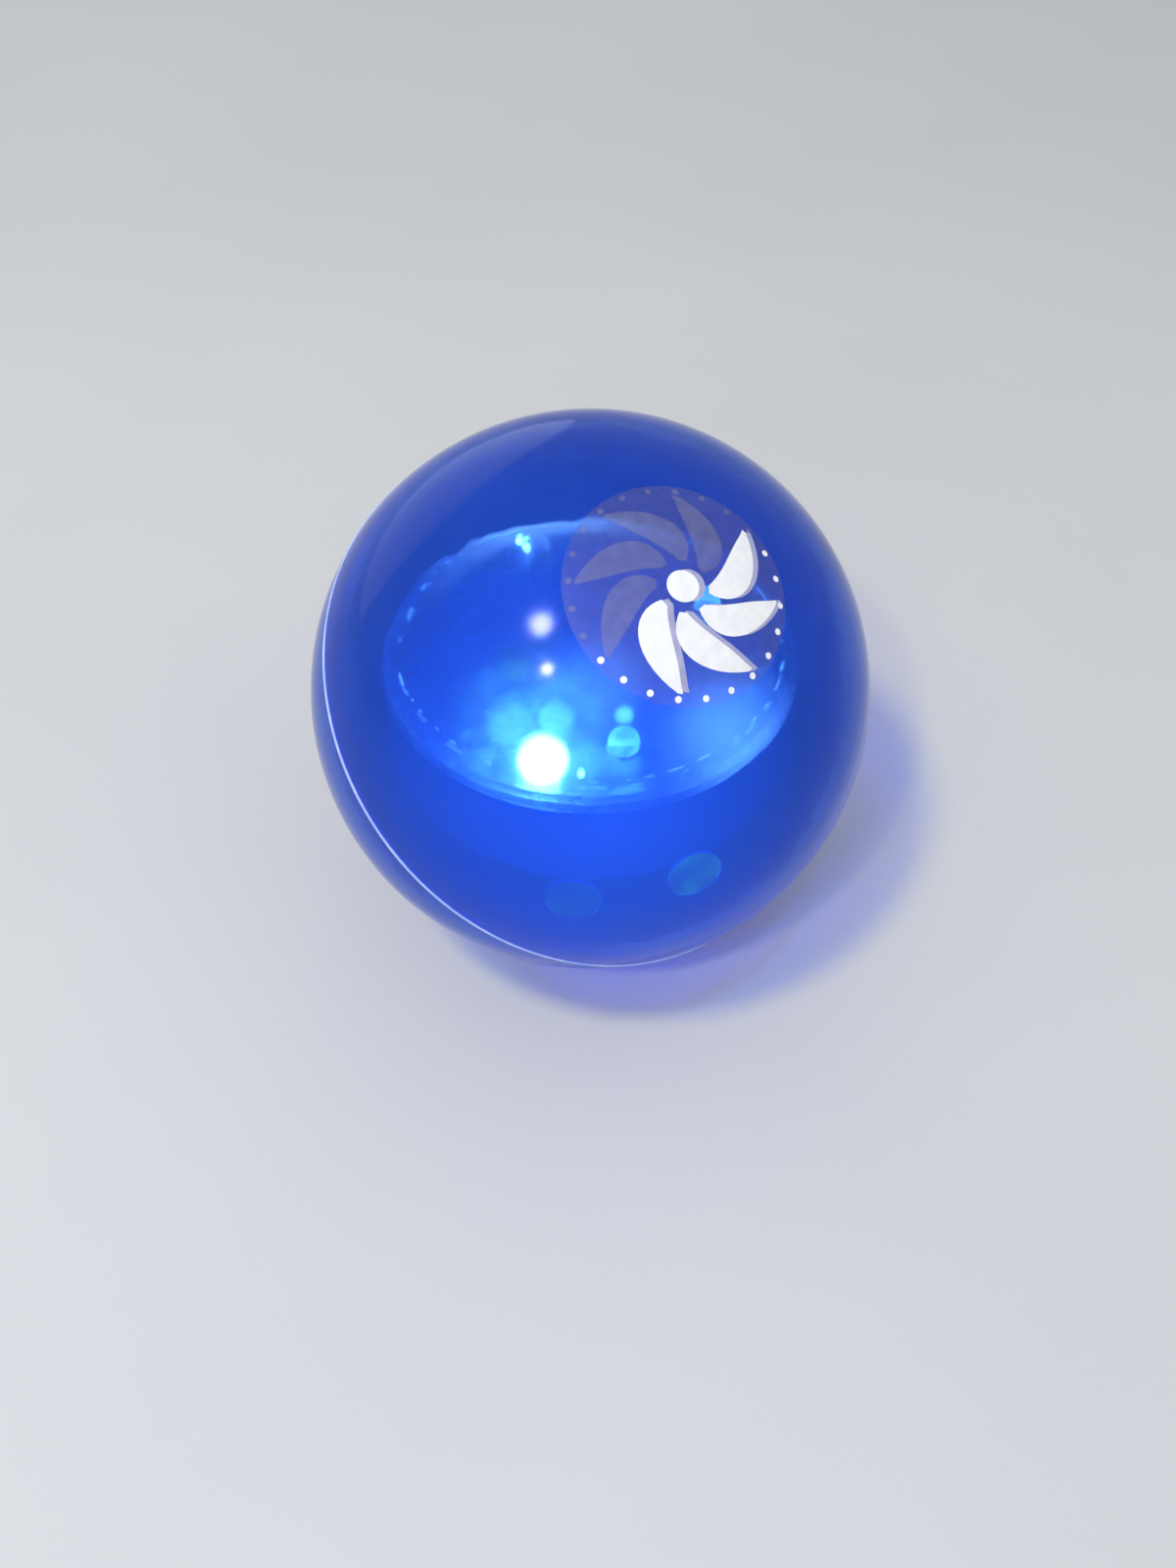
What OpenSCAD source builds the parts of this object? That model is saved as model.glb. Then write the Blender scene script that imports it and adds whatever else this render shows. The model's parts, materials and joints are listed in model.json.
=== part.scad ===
// Light-up bouncy ball: two welded half shells with an impact-lit lamp unit sealed inside.
// The ball's centre is the origin, and +Z is up as the ball lies at rest.
// The shells are built in the seam's own frame, whose Z runs along the seam's axis to the front pole.
// The lamp unit stands upright on its stem: its weight turns that side of the ball down.

/* [Ball] */
// Outside diameter of the ball
ball_d = 100; // [96:0.5:104]
// Thickness of the moulded wall
wall = 3.2; // [2.8:0.1:4]
// Lean of the seam's axis from upright, towards -Y
seam_lean = 36; // [0:1:80]

/* [Seam] */
// How far the front half's tongue reaches into the rear half
tongue_depth = 3; // [2:0.1:4]
// Thickness of the weld bead
bead_d = 0.9; // [0.6:0.1:1.2]
// Height of the bead above the ball's surface
bead_proud = 0.2; // [0.1:0.05:0.3]

/* [Ejector pads] */
// Diameter of the round pads on the front half's inner face
pad_d = 9; // [6:0.5:10]
// Height of a pad at its middle
pad_rise = 0.7; // [0.5:0.1:1]

/* [Stem] */
// Diameter of the stem that stands in the rear half
stem_d = 16; // [15:0.5:17]
// Thickness of the stem's wall
stem_wall = 2; // [1.6:0.1:2.4]
// Number of ribs around the stem's foot
rib_count = 4; // [3:1:6]
// Thickness of a rib
rib_t = 1.8; // [1.2:0.1:2.4]

/* [Lamp unit] */
// Diameter of the lamp unit's housing
unit_d = 73; // [72:0.5:74]
// Height of the housing
unit_h = 23; // [22.5:0.1:23.5]
// Depth of the housing's underside below the ball's centre
unit_drop = 10; // [9.5:0.1:10.5]
// Thickness of the housing's wall and cover
unit_wall = 1.8; // [1.6:0.1:2]
// Rounding of the housing's outer edges
unit_edge = 3; // [2.5:0.1:3.2]
// Distance of the housing's screws from the axis
screw_ring = 29.5; // [29:0.1:29.8]

/* [Circuit board] */
// Diameter of the circuit board
board_d = 66; // [65.5:0.1:66.5]
// Thickness of the circuit board
board_t = 1.6; // [1.2:0.1:1.6]
// Height of the board's top face above the ball's centre
board_top = 5.5; // [5.3:0.1:5.7]

/* [LEDs] */
// Diameter of an LED's dome
led_d = 5; // [4.8:0.1:5.2]
// Height of an LED above its flange's foot
led_h = 8.6; // [8.4:0.1:8.8]
// Place of the lit LED across the board
led_lit_x = -27.6; // [-28:0.1:-27]
// Place of the lit LED along the board
led_lit_y = -12.3; // [-12.5:0.1:-11.5]
// Place of the inner LED across the board
led_inner_x = -16; // [-16.5:0.1:-15.5]
// Place of the inner LED along the board
led_inner_y = -20; // [-20.5:0.1:-19.5]
// Place of the far LED across the board
led_far_x = 20.6; // [20:0.1:21.5]
// Place of the far LED along the board
led_far_y = -10.4; // [-11:0.1:-10]

/* [Button cells] */
// Diameter of a button cell
cell_d = 11.6; // [11.5:0.1:11.7]
// Height of a button cell
cell_h = 5.4; // [5.2:0.1:5.4]
// Distance of the cells' middles from the axis
cell_ring = 9.4; // [9.3:0.1:9.8]

/* [Impact switch] */
// Mean diameter of the switch's coil
coil_d = 3.6; // [3.4:0.1:3.8]
// Thickness of the coil's wire
coil_wire = 0.4; // [0.3:0.05:0.4]
// Number of curls in the coil
coil_curls = 9; // [7:1:10]
// Length of the coil
coil_length = 11.5; // [11:0.1:12]
// Thickness of the contact pin inside the coil
pin_d = 0.8; // [0.6:0.1:0.9]

/* [Hidden] */
$fn = 96;
fit_gap = 0.05;
// How far a cutter runs past the face that it cuts
over = 1;

// Ball and seam
ball_r = ball_d / 2;
inner_r = ball_r - wall;
tongue_r = inner_r + 0.45 * wall;
seam_gap = 0.1;
bead_ring = ball_r + bead_proud - bead_d / 2;
// Directions of the ejector pads from the ball's centre: angle from the front pole, then round the axis
pad_places = [[56, -127.4], [69.6, -150]];

// Lamp unit, heights from the ball's centre
unit_r = unit_d / 2;
unit_bottom = -unit_drop;
unit_top = unit_bottom + unit_h;
floor_t = 2;
floor_top = unit_bottom + floor_t;
cover_under = unit_top - unit_wall;
split = unit_top - unit_edge - 1;
lip_h = 1.4;
lip_gap = 0.1;
lip_r = unit_r - unit_wall / 2;
screw_angles = [60, 180, 300];
screw_shank_r = 1.05;
screw_head_r = 2.3;
screw_head_h = 1.6;
screw_play = 0.3;
head_play = 0.2;
cross_slot = [2.6, 0.6, 1.6];
screw_seat = unit_bottom + 2.5;
screw_tip = board_top + 4;
boss_r = 2.6;
post_r = 3.2;
pilot_r = 1.15;

// Stem
stem_r = stem_d / 2;
stem_foot = -(ball_r - wall / 2);
stem_top = unit_bottom - fit_gap;
stem_cap = 6;
socket_wall = 2.2;
socket_depth = 10;
rib_reach = 22;
rib_top = -30;
stem_screw_tip = stem_top - stem_cap + 0.5;

// Board and what stands on it
board_bottom = board_top - board_t;
led_r = led_d / 2;
led_flange_r = led_r + 0.4;
led_flange_h = 1;
led_foot = board_top + 2.2;
led_hole_r = led_r + 0.25;
leg_side = 0.5;
leg_pitch = 2.54;
leg_tail = 1.3;
leg_hole_r = 0.45;
joint_h = 0.8;
joint_tip_r = 0.6;
joint_foot_r = 1;
leg_rise = 1.6;
cup_r = 0.9;
cup_h = 1.4;
// Each LED: across the board, along the board, turn of its pair of legs
led_places = [
    [led_lit_x, led_lit_y, 90],
    [led_inner_x, led_inner_y, 0],
    [led_far_x, led_far_y, 90]
];
resistor_size = [3.2, 1.6, 0.6];
resistor_places = [[-20, -9, 90], [-9, -15, 90], [16.5, -6, 90]];
chip_place = [3, -6];
chip_r = 4;
chip_rise = 1.6;
chip_ball_r = (chip_r * chip_r + chip_rise * chip_rise) / (2 * chip_rise);
capacitor_place = [6, -20];
capacitor_r = 2;
capacitor_h = 5;
capacitor_leg_r = 0.3;

// Impact switch, whose coil lies along the board
coil_r = coil_d / 2;
switch_y = 10;
switch_height = board_top + 3.2;
anchor_x = -10;
anchor_size = [3, 3.2, 5.2];
anchor_bore_r = 0.6;
anchor_leg_r = 0.35;
lead_start = anchor_x - 0.5;
coil_start = anchor_x + 2.6;
pin_r = pin_d / 2;
pin_foot_x = coil_start + coil_length + 4.5;
pin_tip_x = coil_start + 3.5;
// Rings of the coil's tube
rings_per_curl = 8;
tube_sides = 6;
lead_rings = 6;

// Button cells and their contacts
cell_r = cell_d / 2;
cell_cap_r = cell_r - 1;
cell_cap_h = 0.6;
cell_angles = [90, 210, 330];
strip_t = 0.3;
strip_w = 3;
strip_disc_r = 3.6;
lower_strip = floor_top + fit_gap;
cell_bottom = lower_strip + strip_t + fit_gap;
upper_strip = cell_bottom + cell_h + fit_gap;
tab_ring = 18.4;
holder_r = 16.6;
holder_top = cell_bottom + cell_h - 0.2;
pocket_r = cell_r + 0.1;
holder_bore_r = 2.9;

// Shared helpers
module in_seam_frame() {
    rotate([seam_lean, 0, 0]) children();
}

module around_axis(angles, ring) {
    for (angle = angles) rotate([0, 0, angle]) translate([ring, 0, 0]) children();
}

module at_height(z) {
    translate([0, 0, z]) children();
}

// A ball cut to the side of the seam that side names: 1 for the front, -1 for the rear
module half_ball(r, side) {
    intersection() {
        sphere(r);
        at_height(side * ball_d / 2) cube([1.1 * ball_d, 1.1 * ball_d, ball_d], center = true);
    }
}

// The part of a ball that lies between two heights
module ball_slice(r, low, high) {
    intersection() {
        sphere(r);
        at_height(low) cylinder(r = 1.1 * ball_r, h = high - low);
    }
}

module bead(d) {
    rotate_extrude() translate([bead_ring, 0]) circle(d = d);
}

// Outer shells
module ejector_pad(place) {
    rotate([0, place[0], place[1]])
        at_height(inner_r - pad_rise) cylinder(d = pad_d, h = pad_rise + wall / 2);
}

module front_shell() {
    color("royalblue", 0.6) in_seam_frame() difference() {
        union() {
            difference() {
                half_ball(ball_r, 1);
                sphere(inner_r);
            }
            difference() {
                ball_slice(tongue_r, -tongue_depth, wall / 2);
                sphere(inner_r);
            }
            for (place = pad_places) ejector_pad(place);
        }
        bead(bead_d + 2 * fit_gap);
    }
}

module stem_rib() {
    rotate([90, 0, 0])
        at_height(-rib_t / 2) linear_extrude(rib_t)
            polygon([
                [stem_r - stem_wall / 2, stem_foot],
                [rib_reach, stem_foot],
                [rib_reach, -sqrt(inner_r * inner_r - rib_reach * rib_reach)],
                [stem_r - stem_wall / 2, rib_top]
            ]);
}

module stem() {
    difference() {
        union() {
            at_height(stem_foot) cylinder(r = stem_r, h = stem_top - stem_foot);
            intersection() {
                for (i = [0 : rib_count - 1]) rotate([0, 0, 45 + i * 360 / rib_count]) stem_rib();
                sphere(inner_r + wall / 2);
            }
        }
        at_height(stem_foot - wall)
            cylinder(r = stem_r - stem_wall, h = stem_top - stem_cap - stem_foot + wall);
        at_height(stem_top - stem_cap - over) cylinder(r = pilot_r, h = stem_cap + 2 * over);
    }
}

module rear_shell() {
    color("royalblue", 0.6) union() {
        in_seam_frame() difference() {
            half_ball(ball_r, -1);
            sphere(inner_r);
            ball_slice(tongue_r + seam_gap, -tongue_depth - seam_gap, wall / 2);
            bead(bead_d + 2 * fit_gap);
        }
        stem();
    }
}

module seam_weld() {
    color("lightsteelblue") in_seam_frame() bead(bead_d);
}

// Lamp unit's housing
// Half section of a round tray: floor at height 0, rounded lower edge, wall up to h
module tray_section(r, h, thick, floor_thick) {
    difference() {
        intersection() {
            union() {
                square([r - unit_edge, h]);
                translate([0, unit_edge]) square([r, h - unit_edge]);
                translate([r - unit_edge, unit_edge]) circle(unit_edge);
            }
            square([r, h]);
        }
        translate([0, floor_thick]) square([r - thick, h]);
    }
}

module unit_base() {
    color("lightgray") difference() {
        union() {
            at_height(unit_bottom) rotate_extrude() {
                tray_section(unit_r, split - unit_bottom, unit_wall, floor_t);
                translate([unit_r - unit_wall, floor_t])
                    square([lip_r - unit_r + unit_wall, split - unit_bottom - floor_t + lip_h]);
            }
            at_height(unit_bottom - socket_depth)
                cylinder(r = stem_r + socket_wall, h = socket_depth + floor_t / 2);
            around_axis(screw_angles, screw_ring)
                at_height(unit_bottom + floor_t / 2)
                    cylinder(r = post_r, h = board_bottom - fit_gap - unit_bottom - floor_t / 2);
        }
        at_height(unit_bottom - socket_depth - over)
            cylinder(r = stem_r + lip_gap, h = socket_depth + over);
        at_height(unit_bottom - over) cylinder(r = screw_shank_r + screw_play, h = floor_t + 2 * over);
        around_axis(screw_angles, screw_ring) {
            at_height(unit_bottom - over)
                cylinder(r = screw_head_r + head_play, h = screw_seat - unit_bottom + over);
            at_height(unit_bottom - over) cylinder(r = screw_shank_r + screw_play, h = unit_h);
        }
    }
}

module unit_cover() {
    rim = split + lip_gap;
    color("aliceblue", 0.35) difference() {
        union() {
            difference() {
                at_height(unit_top) mirror([0, 0, 1]) rotate_extrude()
                    tray_section(unit_r, unit_top - rim, unit_wall, unit_wall);
                at_height(rim - over) cylinder(r = lip_r + lip_gap, h = lip_h + over);
            }
            around_axis(screw_angles, screw_ring)
                at_height(board_top + fit_gap)
                    cylinder(r = boss_r, h = unit_top - unit_wall / 2 - board_top - fit_gap);
        }
        around_axis(screw_angles, screw_ring)
            at_height(board_top - over) cylinder(r = pilot_r, h = cover_under - board_top);
        for (place = led_places)
            translate([place[0], place[1], board_top]) cylinder(r = led_hole_r, h = unit_h);
    }
}

// A self-tapping screw whose head's seat is at height 0 and whose shank points up
module tapping_screw(length) {
    difference() {
        union() {
            at_height(-screw_head_h) cylinder(r = screw_head_r, h = screw_head_h);
            cylinder(r = screw_shank_r, h = length);
        }
        for (turn = [0, 90]) rotate([0, 0, turn])
            at_height(-screw_head_h) cube(cross_slot, center = true);
    }
}

module housing_screws() {
    color("silver") around_axis(screw_angles, screw_ring)
        at_height(screw_seat - fit_gap) tapping_screw(screw_tip - screw_seat);
}

module stem_screw() {
    color("silver") at_height(floor_top + fit_gap)
        mirror([0, 0, 1]) tapping_screw(floor_top - stem_screw_tip);
}

// Circuit board and what stands on it
module at_led(place) {
    translate([place[0], place[1], 0]) rotate([0, 0, place[2]]) children();
}

// Every soldered leg: LEDs, switch anchor, switch pin and capacitor
module at_legs() {
    for (place = led_places) at_led(place)
        for (side = [-1, 1]) translate([side * leg_pitch / 2, 0, 0]) children();
    for (x = [anchor_x, pin_foot_x]) translate([x, switch_y, 0]) children();
    for (side = [-1, 1])
        translate([capacitor_place[0] + side * capacitor_r / 2, capacitor_place[1], 0]) children();
}

module circuit_board() {
    color("mediumblue") difference() {
        at_height(board_bottom) cylinder(d = board_d, h = board_t);
        at_height(board_bottom - over) {
            around_axis(screw_angles, screw_ring)
                cylinder(r = screw_shank_r + screw_play, h = board_t + 2 * over);
            at_legs() cylinder(r = leg_hole_r, h = board_t + 2 * over);
        }
    }
}

module led_resistors() {
    color("dimgray") for (place = resistor_places)
        translate([place[0], place[1], board_top + fit_gap + resistor_size[2] / 2])
            rotate([0, 0, place[2]]) cube(resistor_size, center = true);
}

module capacitor() {
    color("darkslategray") translate([capacitor_place[0], capacitor_place[1], 0]) {
        at_height(board_top + fit_gap) cylinder(r = capacitor_r, h = capacitor_h);
        for (side = [-1, 1]) translate([side * capacitor_r / 2, 0, board_bottom - leg_tail])
            cylinder(r = capacitor_leg_r, h = board_t + leg_tail + over);
    }
}

module controller_chip() {
    color("black")
        translate([chip_place[0], chip_place[1], board_top + fit_gap]) intersection() {
            at_height(chip_rise - chip_ball_r) sphere(chip_ball_r);
            cylinder(r = chip_r + over, h = chip_rise + over);
        }
}

module solder_joints() {
    color("gainsboro") at_legs()
        at_height(board_bottom - fit_gap - joint_h) difference() {
            cylinder(r1 = joint_tip_r, r2 = joint_foot_r, h = joint_h);
            at_height(-over) cylinder(r = leg_hole_r, h = joint_h + 2 * over);
        }
}

// LEDs
// The metal inside an LED and its two legs, each side grown by extra
module led_metal(extra) {
    leg = leg_side + 2 * extra;
    leg_low = board_bottom - leg_tail;
    leg_high = led_foot + leg_rise + extra;
    for (side = [-1, 1]) translate([side * leg_pitch / 2, 0, (leg_low + leg_high) / 2])
        cube([leg, leg, leg_high - leg_low], center = true);
    translate([-leg_pitch / 2 + cup_r / 2, 0, led_foot + leg_rise - extra])
        cylinder(r = cup_r + extra, h = cup_h + 2 * extra);
    translate([leg_pitch / 2 - leg_side / 2, 0, led_foot + leg_rise + cup_h / 2])
        cube([2 * leg_side + 2 * extra, leg, cup_h + 2 * extra], center = true);
}

module led_lens(place) {
    color("azure", 0.5) at_led(place) difference() {
        at_height(led_foot) {
            cylinder(r = led_flange_r, h = led_flange_h);
            cylinder(r = led_r, h = led_h - led_r);
            at_height(led_h - led_r) sphere(led_r);
        }
        led_metal(fit_gap);
    }
}

module led_legs(place) {
    color("silver") at_led(place) led_metal(0);
}

// Impact switch
module switch_anchor() {
    color("goldenrod") difference() {
        translate([anchor_x, switch_y, 0]) {
            at_height(board_top + fit_gap + anchor_size[2] / 2) cube(anchor_size, center = true);
            at_height(board_bottom - leg_tail)
                cylinder(r = anchor_leg_r, h = board_t + leg_tail + over);
        }
        translate([lead_start - anchor_bore_r, switch_y, switch_height])
            rotate([0, 90, 0]) cylinder(r = anchor_bore_r, h = anchor_size[0]);
    }
}

module switch_pin() {
    color("goldenrod") {
        translate([pin_foot_x, switch_y, board_bottom - leg_tail])
            cylinder(r = pin_r, h = switch_height - board_bottom + leg_tail);
        translate([pin_foot_x, switch_y, switch_height]) sphere(pin_r);
        translate([pin_tip_x, switch_y, switch_height])
            rotate([0, 90, 0]) cylinder(r = pin_r, h = pin_foot_x - pin_tip_x);
    }
}

// Middle line of the coil: straight out of the anchor, opening out, then the curls
coil_rings = coil_curls * rings_per_curl;
function coil_turn(i) = 360 * i / rings_per_curl;
function coil_place(i) =
    let (
        open = min(1, max(0, i / lead_rings)),
        r = coil_r * open * open * (3 - 2 * open),
        x = coil_start + coil_length * i / coil_rings
    )
    [x, r * cos(coil_turn(i)), r * sin(coil_turn(i))];
coil_line = concat(
    [[lead_start, 0, 0], [(lead_start + coil_start) / 2, 0, 0]],
    [for (i = [0 : coil_rings]) coil_place(i)]
);
function unit(v) = v / norm(v);
function line_way(p, i) = unit(p[min(i + 1, len(p) - 1)] - p[max(i - 1, 0)]);
// A ring's sideways direction: away from the coil's axis, squared to the wire
function ring_side(p, i) =
    let (
        way = line_way(p, i),
        turn = coil_turn(max(0, i - 2)),
        out = [0, cos(turn), sin(turn)]
    )
    unit(out - (out * way) * way);
function ring_points(p, i, r) =
    let (side = ring_side(p, i), up = cross(line_way(p, i), side))
    [for (k = [0 : tube_sides - 1])
        p[i] + r * (cos(360 * k / tube_sides) * side + sin(360 * k / tube_sides) * up)];

// Least clear gap between stretches of the coil that are at least half a curl apart
coil_gap = min([
    for (i = [0 : len(coil_line) - 1], j = [i + rings_per_curl / 2 : len(coil_line) - 1])
        if (j > i) norm(coil_line[i] - coil_line[j])
]) - coil_wire;
echo(coil_gap_mm = coil_gap);

module swept_tube(line, r) {
    count = len(line);
    points = [for (i = [0 : count - 1]) each ring_points(line, i, r)];
    sides = [
        for (i = [0 : count - 2], k = [0 : tube_sides - 1])
            let (
                a = i * tube_sides + k,
                b = i * tube_sides + (k + 1) % tube_sides
            )
            each [[a, b, b + tube_sides], [a, b + tube_sides, a + tube_sides]]
    ];
    last = (count - 1) * tube_sides;
    first_cap = [for (k = [1 : tube_sides - 2]) [0, k + 1, k]];
    last_cap = [for (k = [1 : tube_sides - 2]) [last, last + k, last + k + 1]];
    polyhedron(points, [for (face = concat(sides, first_cap, last_cap)) [face[2], face[1], face[0]]]);
}

module switch_spring() {
    color("gold") translate([0, switch_y, switch_height])
        swept_tube(coil_line, coil_wire / 2);
}

// Button cells, their holder and contacts
module at_cell(index) {
    rotate([0, 0, cell_angles[index]]) translate([cell_ring, 0, 0]) children();
}

// A cell standing on its negative cap, or on its positive can when upright is false
module button_cell(index, upright) {
    color("silver") at_cell(index) at_height(cell_bottom + cell_h / 2)
        mirror([0, 0, upright ? 0 : 1]) at_height(-cell_h / 2) {
            cylinder(r = cell_cap_r, h = cell_h / 2);
            at_height(cell_cap_h) cylinder(r = cell_r, h = cell_h - cell_cap_h);
        }
}

// Outline of a contact disc on a cell's middle, each side grown by extra
module contact_disc(index, extra) {
    rotate(cell_angles[index]) translate([cell_ring, 0]) circle(strip_disc_r + extra);
}

// A strip between the middles of two cells
module bridge(first, second, z, extra) {
    at_height(z - extra) linear_extrude(strip_t + 2 * extra) {
        contact_disc(first, extra);
        contact_disc(second, extra);
        rotate((cell_angles[first] + cell_angles[second]) / 2) translate([cell_ring / 2, 0])
            square([strip_w + 2 * extra, cell_ring * sqrt(3)], center = true);
    }
}

// A strip from a cell's middle outwards, with its tab up to the board
module terminal(index, z, extra) {
    tab_h = board_bottom - fit_gap - z;
    at_height(z - extra) linear_extrude(strip_t + 2 * extra) {
        contact_disc(index, extra);
        rotate(cell_angles[index]) translate([(cell_ring + tab_ring) / 2, 0])
            square([tab_ring - cell_ring, strip_w + 2 * extra], center = true);
    }
    rotate([0, 0, cell_angles[index]]) translate([tab_ring - strip_t / 2, 0, z + tab_h / 2])
        cube([strip_t, strip_w, tab_h], center = true);
}

module lower_bridge() {
    color("goldenrod") bridge(0, 1, lower_strip, 0);
}

module upper_bridge() {
    color("goldenrod") bridge(1, 2, upper_strip, 0);
}

module positive_terminal() {
    color("goldenrod") terminal(0, upper_strip, 0);
}

module negative_terminal() {
    color("goldenrod") terminal(2, lower_strip, 0);
}

module cell_holder() {
    color("whitesmoke") difference() {
        at_height(lower_strip) cylinder(r = holder_r, h = holder_top - lower_strip);
        at_height(floor_top - over) {
            around_axis(cell_angles, cell_ring) cylinder(r = pocket_r, h = cell_h + 3 * over);
            cylinder(r = holder_bore_r, h = cell_h + 3 * over);
        }
        bridge(0, 1, lower_strip, 2 * fit_gap);
        terminal(2, lower_strip, 2 * fit_gap);
    }
}

front_shell();
rear_shell();
seam_weld();
unit_base();
unit_cover();
housing_screws();
stem_screw();
circuit_board();
led_resistors();
capacitor();
controller_chip();
solder_joints();
led_lens(led_places[0]);  // led_lens_1
led_lens(led_places[1]);  // led_lens_2
led_lens(led_places[2]);  // led_lens_3
led_legs(led_places[0]);  // led_legs_1
led_legs(led_places[1]);  // led_legs_2
led_legs(led_places[2]);  // led_legs_3
switch_anchor();
switch_pin();
switch_spring();
cell_holder();
button_cell(0, true);  // button_cell_1
button_cell(1, false);  // button_cell_2
button_cell(2, true);  // button_cell_3
lower_bridge();
upper_bridge();
positive_terminal();
negative_terminal();
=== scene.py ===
import json
import math

import bmesh
import bpy
from mathutils import Matrix, Vector


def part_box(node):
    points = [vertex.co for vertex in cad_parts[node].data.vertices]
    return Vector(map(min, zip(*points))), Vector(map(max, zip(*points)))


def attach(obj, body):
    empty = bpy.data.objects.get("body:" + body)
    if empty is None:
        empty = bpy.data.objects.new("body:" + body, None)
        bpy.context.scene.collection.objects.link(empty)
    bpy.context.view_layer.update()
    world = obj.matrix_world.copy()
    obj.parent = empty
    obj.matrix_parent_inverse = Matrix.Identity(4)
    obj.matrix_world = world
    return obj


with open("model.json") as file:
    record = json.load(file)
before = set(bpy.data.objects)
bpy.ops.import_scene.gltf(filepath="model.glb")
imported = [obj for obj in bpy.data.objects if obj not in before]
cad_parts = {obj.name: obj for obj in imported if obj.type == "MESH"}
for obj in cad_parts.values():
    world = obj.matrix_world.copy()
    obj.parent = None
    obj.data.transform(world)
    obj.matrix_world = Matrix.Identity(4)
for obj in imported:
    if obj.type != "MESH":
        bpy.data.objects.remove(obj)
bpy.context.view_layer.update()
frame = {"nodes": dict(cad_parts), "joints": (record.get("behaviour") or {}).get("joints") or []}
MM = 0.001

# The ball and its lamp unit, read from the frame; the switch's hinge is parallel to the unit's axis
SHELL_LOW, SHELL_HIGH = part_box("front_shell")
BALL_RADIUS = (SHELL_HIGH.x - SHELL_LOW.x) / 2
FLOOR_HEIGHT = -BALL_RADIUS
UNIT_LOW, UNIT_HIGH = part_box("unit_cover")
UNIT_RADIUS = (UNIT_HIGH.x - UNIT_LOW.x) / 2
UNIT_AXIS = Vector(frame["joints"][0]["axis"]).normalized()

# The seam's axis, which leans from upright towards -Y
SEAM_LEAN = math.radians(36)
SEAM_AXIS = Vector((0, -math.sin(SEAM_LEAN), math.cos(SEAM_LEAN)))
SEAM_RIGHT = Vector((1, 0, 0))
SEAM_UP = SEAM_AXIS.cross(SEAM_RIGHT)

# The camera, in the photograph's frame of 1200 x 1600 pixels
PHOTO_WIDTH = 1200
PHOTO_HEIGHT = 1600
FOCAL_PIXELS = 1500
BALL_PIXEL = (602.5, 706)
OUTLINE_PIXELS = 285.5
AZIMUTH = math.radians(-50.92)
ELEVATION = math.radians(45)
NEAR_CLIP = 10 * MM

# Places in the photograph's frame: the print, the lamps' mirror images, then light in and on the ball
PRINT_PIXEL = (697, 598)
HIGHLIGHT_PIXEL = (552, 637)
SMALL_HIGHLIGHT_PIXEL = (558, 683)
SOFT_BOX_PIXEL = (410, 515)
WALL_GLOW_PIXEL = (620, 850)
LIT_LED_PIXEL = (554, 775)
HALO_PIXEL = (545, 738)
LEFT_SPOT_PIXEL = (518, 738)
UPPER_SPOT_PIXEL = (567, 735)
RIGHT_SPOT_PIXEL = (600, 775)
SMALL_SPOT_PIXEL = (637, 731)
RIM_GLINT_PIXEL = (529, 553)
SECOND_RIM_GLINT_PIXEL = (536, 558)
LED_GLINT_PIXEL = (592, 790)
MIDDLE_SHEEN_PIXEL = (612, 700)
RIGHT_SHEEN_PIXEL = (738, 742)
RIM_SHEEN_PIXEL = (560, 540)

# Radii between the wall's two faces, where the inner face's look gives way to the outer's
WALL_RADII = (BALL_RADIUS - 2 * MM, BALL_RADIUS - 1 * MM)

# Round pads on the front shell's inner face: degrees from the front pole,
# degrees round the seam's axis, how strongly the painted glow on the pad shows
PADS = ((56.0, -127.4, 1.0), (69.6, -150.0, 0.4))
PAD_RADIUS = 4.5 * MM
PAD_EDGE = 0.1 * MM
PAD_FADE = 10 * MM
# Colour and strength of the painted glow that the pads give off
PAD_GLOW_COLOUR = (0.1, 1.0, 0.2)
PAD_GLOW_STRENGTH = 0.22

# Light caught in the wall; stops are shares of the reach and the level there
WALL_GLOW_REACH = 75 * MM
WALL_GLOW_COLOUR = (0.008, 0.055, 0.4)
WALL_GLOW_STRENGTH = 0.8
WALL_GLOW_STOPS = ((0.0, 1.0), (0.25, 0.7), (0.55, 0.22), (1.0, 0.02))

# Colours and stops of the light on the cover and in the lenses
WARM_WHITE = (1.0, 0.88, 0.66)
TEAL = (0.8, 1.0, 0.1)
CYAN = (0.7, 1.0, 0.5)
SHEEN_COLOUR = (1.0, 0.75, 0.55)
# Colour of the painted sheen on the cover's rim
RIM_SHEEN_COLOUR = (1.0, 0.5, 0.2)
CORE_STOPS = ((0.0, 1.0), (0.64, 1.0), (0.78, 0.04), (1.0, 0.0))
HALO_STOPS = (
    (0.0, 1.0), (0.18, 0.91), (0.37, 0.67), (0.51, 0.42), (0.65, 0.24), (0.83, 0.055), (1.0, 0.0),
)
SPOT_STOPS = ((0.0, 1.0), (0.6, 0.8), (1.0, 0.0))
SHEEN_STOPS = ((0.0, 1.0), (0.35, 0.75), (0.7, 0.2), (1.0, 0.0))

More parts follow.
